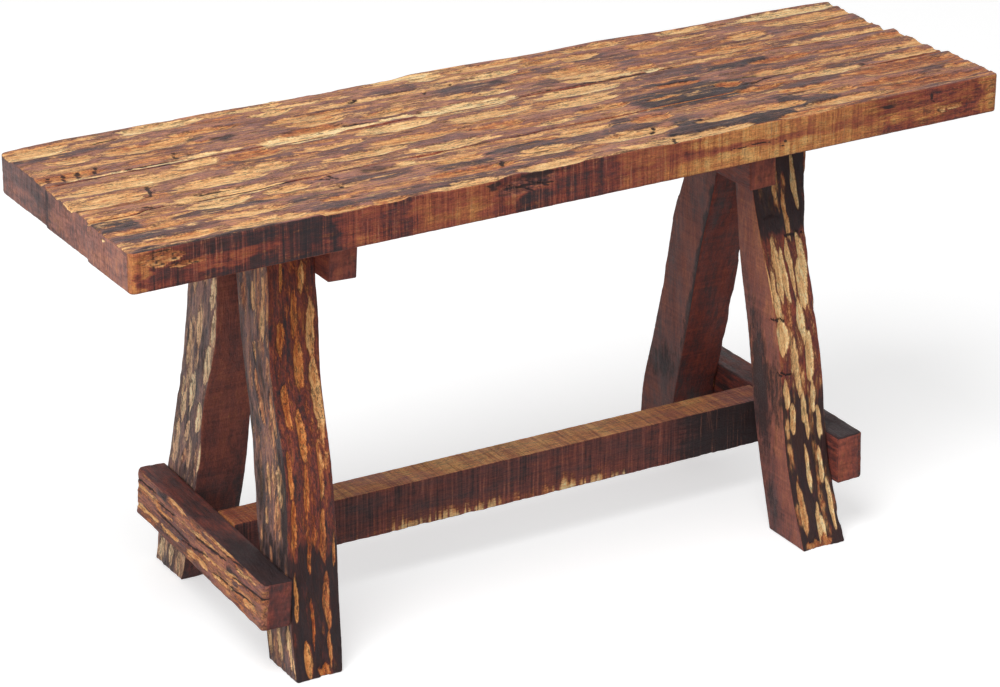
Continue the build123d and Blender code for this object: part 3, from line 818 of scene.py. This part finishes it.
def plank_paint(seed):
    """Paint for a seat plank's six faces."""

    def paint(key, grid, bounds):
        s, a, b = split(grid)
        if key == (UP, HIGH):
            return seat_top(s, a, seed)
        if key == (UP, LOW):
            return seat_under(s, a, seed + 1)
        if key[0] == ALONG:
            face = plank_end(a, b, seed + 2, END_STAINS if key[1] == LOW else ())
            if key[1] == LOW:
                face.carve(END_CUTS, depth=0.8, rough=0.6, wisps=0)
            return face
        if key == (ACROSS, LOW):
            return seat_front(s, b, seed + 3)
        face = Face(s, b, 0.6, 0.34, seed + 4)
        face.mottle(0.12)
        face.kerf(0.15, 4)
        return face

    return paint


# ---------------- features of the frames

def rows_of_cuts(seed, low, high, brightest=0.72, pitch=14, length=46):
    """Staggered adze cuts in columns up a leg, for a hewn face that the photograph doesn't show."""
    pick = np.random.default_rng(seed)
    cuts = []
    columns = max(1, round((high - low) / pitch))
    for i in range(columns):
        v = low + (i + 0.5) * (high - low) / columns
        u = -length * pick.uniform(0, 1)
        while u < LEG_HEIGHT:
            long = length * pick.uniform(0.6, 1.4)
            wide = pitch * pick.uniform(0.2, 0.42)
            middle = v + pitch * pick.uniform(-0.22, 0.22)
            cuts.append((u, u + long, middle - wide, middle + wide, pick.uniform(0.2, brightest)))
            u += long * pick.uniform(0.95, 1.5)
    return cuts


# Cuts of the legs: place across, height from, height to, width, tone.
LEFT_FRONT_FACE = (
    (14, 357, 376, 5, 0.46), (34, 352, 378, 7, 0.5), (26, 306, 352, 9, 0.3), (42, 290, 342, 11, 0.49),
    (12, 292, 325, 10, 0.25), (29, 260, 304, 11, 0.32), (12, 228, 268, 10, 0.27), (43, 218, 288, 13, 0.49),
    (22, 200, 242, 9, 0.35), (6, 168, 212, 7, 0.3), (37, 164, 216, 7, 0.31), (21, 146, 196, 6, 0.24),
    (7, 120, 165, 8, 0.24), (37, 100, 150, 8, 0.17), (22, 96, 142, 5, 0.17), (7, 55, 98, 6, 0.56),
    (38, 42, 92, 9, 0.19), (22, 22, 72, 4, 0.14), (14, 0, 34, 10, 0.53), (37, 10, 38, 5, 0.31),
    (47, 95, 130, 5, 0.31), (30, 2, 10, 16, 0.28),
)
LEFT_FRONT_SIDE = (
    (13, 305, 340, 11, 0.52), (10, 340, 365, 8, 0.47), (30, 330, 350, 10, 0.52), (50, 330, 345, 10, 0.17),
    (30, 285, 300, 9, 0.43), (32, 250, 270, 10, 0.17), (8, 225, 262, 9, 0.28), (30, 225, 255, 10, 0.24),
    (12, 160, 195, 19, 0.54), (18, 135, 160, 10, 0.21), (50, 155, 175, 10, 0.46), (35, 165, 190, 10, 0.42),
    (40, 135, 150, 8, 0.38), (10, 10, 48, 12, 0.65), (30, 10, 40, 11, 0.64), (50, 8, 35, 10, 0.62),
    (3, 5, 20, 5, 0.64),
)
LEFT_BACK_SIDE = (
    (13, 228, 270, 11, 0.57), (30, 250, 290, 12, 0.51), (28, 185, 225, 11, 0.78), (10, 195, 215, 8, 0.64),
    (16, 168, 200, 9, 0.64), (50, 222, 262, 16, 0.75), (57, 265, 300, 10, 0.72), (50, 300, 330, 11, 0.72),
    (46, 165, 198, 13, 0.78), (28, 150, 170, 10, 0.64), (10, 145, 165, 9, 0.55), (60, 130, 175, 10, 0.68),
    (30, 120, 140, 10, 0.23), (10, 5, 28, 12, 0.7), (30, 5, 28, 12, 0.7), (50, 5, 25, 11, 0.37),
    (14, 300, 340, 10, 0.46), (34, 320, 360, 10, 0.46), (52, 350, 385, 10, 0.41), (14, 350, 390, 9, 0.37),
)
RIGHT_FRONT_FACE = (
    (2, 322, 378, 9, 0.74), (24, 338, 352, 7, 0.59), (17, 300, 340, 6, 0.46), (7, 258, 300, 11, 0.77),
    (13, 236, 280, 12, 0.76), (22, 245, 306, 7, 0.72), (37, 240, 300, 9, 0.61), (30, 242, 292, 8, 0.74),
    (44, 225, 268, 7, 0.65), (20, 204, 244, 11, 0.77), (43, 194, 228, 16, 0.67), (15, 160, 212, 11, 0.71),
    (31, 165, 206, 8, 0.65), (29, 150, 170, 8, 0.65), (13, 128, 160, 8, 0.76), (8, 103, 134, 8, 0.76),
    (43, 134, 166, 9, 0.63), (38, 110, 140, 7, 0.61), (25, 118, 152, 7, 0.68), (22, 102, 126, 6, 0.68),
    (26, 53, 98, 7, 0.76), (11, 58, 96, 7, 0.74), (7, 15, 64, 8, 0.74), (40, 12, 68, 9, 0.39),
    (23, 0, 38, 11, 0.72), (-14, 340, 378, 5, 0.28), (50, 240, 290, 7, 0.46), (28, 0, 8, 40, 0.18),
)

# Char of the left legs: height from, height to, place across from, place across to, strength.
LEFT_FRONT_CHAR = (
    (85, 240, -8, 18, 1.2), (125, 200, 38, 66, 1), (240, 300, 14, 26, 0.8), (290, 400, 34, 44, 0.7),
)
LEFT_BACK_CHAR = (
    (60, 130, 20, 40, 0.8), (210, 300, 36, 46, 0.9), (300, 400, 24, 36, 0.8), (130, 220, -4, 6, 0.8),
)
# Splits of the right front leg: height and place across at both ends, width.
RIGHT_FRONT_CRACKS = (
    (322, 22, 322, 42, 1.2), (302, 0, 302, 22, 1.2), (226, 38, 230, 56, 1.5), (173, 38, 177, 56, 1.5),
)


def hewn(u, v, seed, cuts, stain, red=0, rows=None, burns=(), depth=1.9, between=0.3, cloudy=0.12):
    """A hewn and scorched leg face; burns are bands: (u from, u to, strength)."""
    face = Face(u, v, red, stain, seed)
    face.mottle(cloudy, 35, 9)
    face.texture(0.3, 22, 4.5)
    face.carve(cuts, depth, rough=1, wisps=0.3, rows=rows, slim=0.95, between=between, rims=(0.16, 0.14))
    wave = u + 12 * fbm(u / 30, v / 8, seed + 9)
    for low, high, strength in burns:
        near = ease(wave, low - 12, low + 12) * ease(wave, high + 12, high - 12)
        face.char = np.maximum(face.char, strength * near * (1 - 0.85 * face.cut))
    return face


def shown_hewn(u, v, seed, places, **finish):
    """A hewn leg face that the photograph shows, with its cuts where they are there."""
    cuts = [(low, high, v0 - wide / 2, v0 + wide / 2, tone) for v0, low, high, wide, tone in places]
    return hewn(u, v, seed, cuts, **finish)


def hidden_hewn(u, v, seed, cuts, burns=((-40, 120, 0.6),)):
    """A hewn leg face that the photograph doesn't show."""
    return hewn(u, v, seed, cuts, stain=0.4, red=0.4, rows=(12, 40, 0), burns=burns)


def sawn_end(u, v, seed, stain=0.3, red=0.5):
    """A sawn end, with coarse marks."""
    face = Face(u, v, red, stain, seed, calm=0.7, score=0.25)
    face.mottle(0.04, 9, 9)
    face.height += 0.2 * (1 + fbm(u / 4, v / 11, seed + 2))
    return face


def sawn_leg(key, grid, seed, stain, red=0.5, dark_below=130, dark=0.25):
    """A leg's end, or a sawn face of it with faint saw marks, darker towards the foot."""
    z, x, y = split(grid)
    if key[0] == ALONG:
        return sawn_end(x, y, seed)
    v = y if key[0] == ACROSS else x
    face = Face(z, v, red, stain, seed + 1 + key[0], calm=0.78, score=0.4)
    face.mottle(0.07, 60, 14)
    face.stain += 0.04 * face.kerf(0.12, 3.2)
    face.stain -= dark * ease(z, dark_below + 60, dark_below - 80)
    return face


def from_front(grid, bounds):
    """How far points lie behind the leg's front."""
    return grid[..., 2] - bounds[0][..., 2]


def frame_x(reach, side, z):
    """X of a frame's outer leg plane at a height."""
    return side * (reach - z * math.tan(RAKE))


def leg_left_front(key, grid, bounds):
    """Hewn in front and outside, and sawn elsewhere."""
    z, x, _ = split(grid)
    if key == (UP, LOW):
        v = x - frame_x(LEFT_REACH, LOW, z)
        finish = {"stain": 0.34, "red": 0.95, "rows": (12, 45, 0), "between": 0.1}
        face = shown_hewn(z, v, 101, LEFT_FRONT_FACE, burns=((-40, 125, 1.1),), **finish)
        face.sawn -= 0.16 * ease(v, 30, 40)
        return face
    if key == (ACROSS, LOW):
        v = from_front(grid, bounds)
        burns = ((85, 125, 0.9), (-40, 60, 0.25))
        finish = {"stain": 0.4, "red": -0.35, "rows": (9, 34, 0.15), "between": 0.34, "cloudy": 0.2}
        face = shown_hewn(z, v, 102, LEFT_FRONT_SIDE, burns=burns, depth=2.2, **finish)
        face.scorch_and_shade(LEFT_FRONT_CHAR)
        return face
    return sawn_leg(key, grid, 103, stain=0.36)


def leg_left_back(key, grid, bounds):
    """Hewn outside and behind, and sawn elsewhere."""
    z, x, y = split(grid)
    if key == (ACROSS, LOW):
        v = bounds[1][..., 2] - y
        finish = {"stain": 0.48, "red": -0.6, "rows": (13, 34, 0.05), "between": 0.5, "cloudy": 0.2}
        face = shown_hewn(z, v, 111, LEFT_BACK_SIDE, burns=((-40, 40, 0.3),), depth=2.2, **finish)
        face.scorch_and_shade(LEFT_BACK_CHAR)
        return face
    if key == (UP, HIGH):
        return hidden_hewn(z, x - frame_x(LEFT_REACH, LOW, z), 112, rows_of_cuts(5, 0, 49), burns=())
    return sawn_leg(key, grid, 113, stain=0.39, red=0.42, dark_below=160, dark=0.16)


def leg_right_front(key, grid, bounds):
    """Hewn in front and outside, and sawn elsewhere, with char and splits inside."""
    z, x, y = split(grid)
    if key == (UP, LOW):
        v = frame_x(RIGHT_REACH, HIGH, z) - x
        burns = ((-40, 158, 1.3), (300, 420, 1.3))
        finish = {"stain": 0.4, "red": 0.7, "rows": (10, 40, 0.2), "between": 0.42}
        face = shown_hewn(z, v, 121, RIGHT_FRONT_FACE, burns=burns, depth=2.1, **finish)
        face.calm += 0.5
        face.scorch_and_shade(((60, 330, -30, 1, 1.1), (322, 356, 22, 48, 1.2)))
        face.crack(RIGHT_FRONT_CRACKS)
        return face
    if key == (ACROSS, HIGH):
        return hidden_hewn(z, y, 122, rows_of_cuts(6, -160, 60, brightest=0.75))
    face = sawn_leg(key, grid, 123, stain=0.55, red=0.36, dark_below=110, dark=0.16)
    if key == (ACROSS, LOW):
        face.v = from_front(grid, bounds)
        # Lighter near the front, and darker at the top: painted shade under the seat, over wood that is
        # dark there too.
        face.stain += 0.12 * ease(face.v, 36, 4) - 0.1 - 0.25 * ease(z, 320, 380)
        face.scorch_and_shade(((50, 260, 14, 62, 1.1), (95, 215, -10, 40, 0.85), (0, 80, 24, 60, 0.7)))
        face.crack(((228, 0, 226, 12, 1.2), (173, 0, 173, 10, 1.2)))
    return face


def leg_right_back(key, grid, bounds):
    """Hewn outside and behind, and sawn elsewhere, with char and a painted shade band inside."""
    z, x, y = split(grid)
    if key == (ACROSS, HIGH):
        return hidden_hewn(z, y, 132, rows_of_cuts(8, -10, 170))
    if key == (UP, HIGH):
        return hidden_hewn(z, x, 133, rows_of_cuts(9, 200, 320))
    if key == (ACROSS, LOW):
        face = sawn_leg(key, grid, 133, stain=0.37, red=0.32, dark=0.04)
        face.v = from_front(grid, bounds)
        # The black band down the front edge is painted shade.
        face.scorch_and_shade(((76, 142, -20, 80, 0.8), (60, 420, -9, 9, 1.1), (330, 420, -9, 30, 0.7)))
        return face
    return sawn_leg(key, grid, 133, stain=0.29, red=0.85, dark=0.04)


# The left ledger's outer face: y from, y to, height from, height to, then tone, stain or strength.
LEDGER_CUTS = (
    (-142, -124, 99, 115, 0.66), (-125, -98, 92, 97, 0.55), (-100, -80, 90, 97, 0.5),
    (-75, -15, 100, 106, 0.46), (-35, 15, 91, 97, 0.46), (-95, -55, 80, 85, 0.46), (-48, -8, 78, 83, 0.5),
    (-120, -92, 64, 74, 0.46), (-75, -28, 65, 72, 0.52), (-20, 18, 66, 74, 0.4), (25, 62, 102, 108, 0.42),
    (35, 75, 67, 74, 0.42), (80, 135, 69, 77, 0.46), (50, 85, 84, 90, 0.38), (90, 130, 92, 98, 0.44),
)
LEDGER_STAINS = (
    (-140, -90, 60, 84, 0.66), (-60, 0, 74, 92, 0.62), (18, 82, 54, 90, 0.34), (-128, -60, 84, 92, 0.46),
    (86, 134, 78, 110, 0.52),
)
# Its splits: y and height at both ends, width.
LEDGER_CRACKS = (
    (-138, 86, -70, 82, 1.6), (-64, 93, 4, 90, 1.6), (14, 79, 84, 83, 1.5), (86, 101, 132, 99, 1.4),
    (-118, 72, -34, 70, 1.5), (-20, 80, 30, 76, 1.3), (44, 94, 84, 92, 1.3), (-96, 100, -60, 98, 1.4),
)
LEDGER_CHAR = (
    (-90, -56, 82, 92, 1), (56, 78, 100, 114, 1), (-150, 140, 50, 60, 0.6), (-20, 20, 96, 112, 0.7),
)


def ledger_paint(side, axes):
    """Paint for a ledger: the left one's outer face is hewn, and all other faces are rough."""
    seed = 141 if side == LOW else 151

    def paint(key, grid, bounds):
        _, a, b = split(grid)
        _, y, z = split(grid @ np.array(axes))
        if key == (UP, LOW) and side == LOW:
            face = Face(y, z, 0.3, 0.52, seed)
            face.mottle(0.2, 26, 6)
            face.texture(0.35, 18, 4)
            face.shade(LEDGER_STAINS)
            finish = {"rough": 1.8, "wisps": 0.35, "slim": 0.9, "rims": (0.1, 0.1)}
            face.carve(LEDGER_CUTS, depth=1.8, rows=(9, 40, -0.15), between=0.22, **finish)
            face.scorch_and_shade(LEDGER_CHAR)
            face.crack(LEDGER_CRACKS)
            return face
        if key == (ACROSS, HIGH):
            face = Face(y, b, 0.5, 0.24, seed + 1, calm=0.6)
            face.mottle(0.08, 16, 8)
            face.texture(0.3, 15, 5)
            reach = -30 if side == LOW else -75
            face.scorch_and_shade(((-170, reach, b.min() - 9, b.max() + 9, 1.7), (100, 160, b.min(), b.max(), 0.5)))
            return face
        if key[0] == ALONG:
            return sawn_end(a, b, seed + 2, stain=0.26 if side == LOW else 0.38, red=0.55)
        face = Face(y, a if key[0] == UP else b, 0.6, 0.28, seed + 3, calm=0.6, score=0.2)
        face.mottle(0.08, 20, 8)
        face.texture(0.6 if key == (ACROSS, LOW) and side == LOW else 0.15, 9, 5)
        return face

    return paint


# Golden streaks of the stretcher's front: middle and reach in x.
GOLDEN = ((-82, 66), (50, 15), (80, 14), (112, 12))


def stretcher_front(x, z):
    """The dark front of the stretcher, with golden streaks that climb from its lower edge."""
    face = Face(x, z, 0.45, 0.23, 161, calm=0.85, score=1.1)
    comb = noise(x / 1.8, z / 60, 45) + 0.3 * noise(x / 7.5, z / 90, 46)
    golden = np.zeros(x.shape)
    for middle, reach in GOLDEN:
        golden = np.maximum(golden, ease(np.abs(x - middle), reach, 0.7 * reach))
    tips = z + 6 * noise(x / 2, z / 90, 48)
    low = ease(tips, 78, 57) * ease(x, 130, 95) * ease(x, -215, -130)
    face.stain += 0.04 * comb + 0.24 * low + 0.1 * ease(np.abs(x - 47), 30, 6) * ease(comb, -0.3, 0.9)
    face.stain += 0.05 * ease(x, 60, 110) * ease(x, 200, 150)
    face.cut += low * (0.2 + 0.35 * golden + 0.7 * comb)
    face.cut += golden * ease(z, 68, 59) * (0.3 + 0.6 * comb)
    face.tone = 0.22 + 0.66 * ease(tips, 70, 57) * golden + 0.1 * comb
    face.mottle(0.03, 12, 20)
    face.char = 1.25 * ease(x, 130, 240)
    face.kerf(0.2, 3)
    return face


def stretcher_paint(key, grid, bounds):
    """A dark front, a rusty top with saw lines, and plainly sawn faces elsewhere."""
    x, y, z = split(grid)
    if key == (ACROSS, LOW):
        return stretcher_front(x, z)
    if key == (UP, HIGH):
        face = Face(x, y, 0.45, 0.84, 162, calm=0.4, score=1.2)
        face.mottle(0.05, 30, 9)
        lines = face.kerf(0.15, 2.6) + noise(x / 5 + y / 16, y / 60, 49)
        face.stain += 0.11 * lines + 0.1 * ease(y, -10, 12)
        face.stain -= 0.1 * ease(x, -60, -160) + 0.14 * ease(x, 100, 170) + 0.2 * ease(x, 200, 260)
        hidden = ease(x, -215, -275)
        face.stain -= 0.2 * hidden
        face.sawn += 0.3 * hidden
        return face
    face = Face(x, z if key[0] == ACROSS else y, 0.6, 0.3, 163 + key[0], calm=0.5, score=0.6)
    face.mottle(0.08, 30, 9)
    face.kerf(0.2, 3)
    if key == (UP, LOW):
        face.texture(0.5, 10, 12)
    return face


def batten_paint(key, grid, bounds):
    """Plainly sawn faces."""
    s, a, b = split(grid)
    u, v = (a, b) if key[0] == ALONG else (s, a if key[0] == UP else b)
    face = Face(u, v, 0.5, 0.39, 171 + 7 * key[0] + key[1], calm=0.6, score=0.3)
    face.mottle(0.05, 30, 9)
    face.kerf(0.12, 3.4)
    return face


# ---------------- stage

CAMERA_PLACE = (-1.70082, -2.84583, 1.63175)
CAMERA_YAW = math.radians(29.9011)
CAMERA_PITCH = math.radians(23.1694)
CAMERA_ROLL = math.radians(0.2137)
LENS = 136.3
SHIFT = (0.04636, 0.00265)
FLOOR_REACH = 14


def make_camera():
    """Camera at the photograph's viewpoint."""
    data = bpy.data.cameras.new("camera")
    data.sensor_width = 36
    data.lens = LENS
    data.shift_x, data.shift_y = SHIFT
    camera = add_object("camera", data)
    aim = Euler((math.pi / 2 - CAMERA_PITCH, 0, -CAMERA_YAW)).to_matrix()
    turn = aim @ Matrix.Rotation(CAMERA_ROLL, 3, "Z")
    camera.matrix_world = Matrix.Translation(CAMERA_PLACE) @ turn.to_4x4()
    bpy.context.scene.camera = camera


def area_light(name, place, target, size, power):
    """A soft box pointed at a place."""
    data = bpy.data.lights.new(name, "AREA")
    data.shape = "DISK"
    data.size = size
    data.energy = power
    light = add_object(name, data)
    light.location = place
    aim = Vector(target) - Vector(place)
    light.rotation_euler = aim.to_track_quat("-Z", "Y").to_euler()


def make_stage():
    """Pale floor, white surroundings and soft light."""
    mesh = bpy.data.meshes.new("floor")
    corners = [(x * FLOOR_REACH, y * FLOOR_REACH, 0) for x, y in ((-1, -1), (1, -1), (1, 1), (-1, 1))]
    mesh.from_pydata(corners, [], [(0, 1, 2, 3)])
    mesh.materials.append(floor_material())
    add_object("floor", mesh)
    bpy.context.scene.world = studio_world()
    area_light("key", (-1.6, -1.2, 3.6), target=(0, 0, 0.25), size=2.2, power=102)
    area_light("fill", (-3.2, -1.6, 1.2), target=(0, 0, 0.3), size=2, power=34)


# ---------------- build

bpy.context.scene.view_settings.view_transform = "Standard"
make_camera()
make_stage()
WOODS = {"hewn_wood": timber_material("hewn wood"), "sawn_wood": timber_material("sawn wood")}
FINISHES = {"screws": screw_material(), "dowels": dowel_material()}

PLANKS = (("front", 2.65), ("middle", 2.65), ("back", 2.9))
LEGS = (
    ("left_front", leg_left_front),
    ("left_back", leg_left_back),
    ("right_front", leg_right_front),
    ("right_back", leg_right_back),
)
FRAMES = (("left", LOW, LEDGER_SLOPE), ("right", HIGH, 0))


def rail_axes(side, slope):
    """Axes of a rail on a raked frame: along it, up the frame, and out of it towards +X."""
    climb = Vector((-side * math.sin(RAKE), 0, math.cos(RAKE)))
    out = Vector((math.cos(RAKE), 0, side * math.sin(RAKE)))
    along = Vector((0, 1, 0)) * math.cos(slope) + climb * math.sin(slope)
    up = climb * math.cos(slope) - Vector((0, 1, 0)) * math.sin(slope)
    return tuple(tuple(v) for v in (along, up, out))


for i, (row, step) in enumerate(PLANKS):
    paint = plank_paint(10 * i + 1)
    timber(f"plank.{row}", f"seat_plank_{row}", "hewn_wood", paint, step=step, round_over=2.4)
for corner, paint in LEGS:
    timber(f"leg.{corner}", f"leg_{corner}", "hewn_wood", paint, UPRIGHT, step=1.6, fine=1, round_over=1.8)
for word, side, slope in FRAMES:
    axes = rail_axes(side, slope)
    paint = ledger_paint(side, axes)
    timber(f"ledger.{word}", f"ledger_{word}", "hewn_wood", paint, axes, step=1.3, fine=1, round_over=2.5)
for word, side, _ in FRAMES:
    axes = rail_axes(side, 0)
    timber(f"batten.{word}", f"batten_{word}", "sawn_wood", batten_paint, axes, fine=1.1)
timber("stretcher.rail", "stretcher", "sawn_wood", stretcher_paint, step=1.3, fine=1.1, round_over=1.2)

for name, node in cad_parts.items():
    for word, material in FINISHES.items():
        if word in name:
            node.data.materials.clear()
            node.data.materials.append(material)
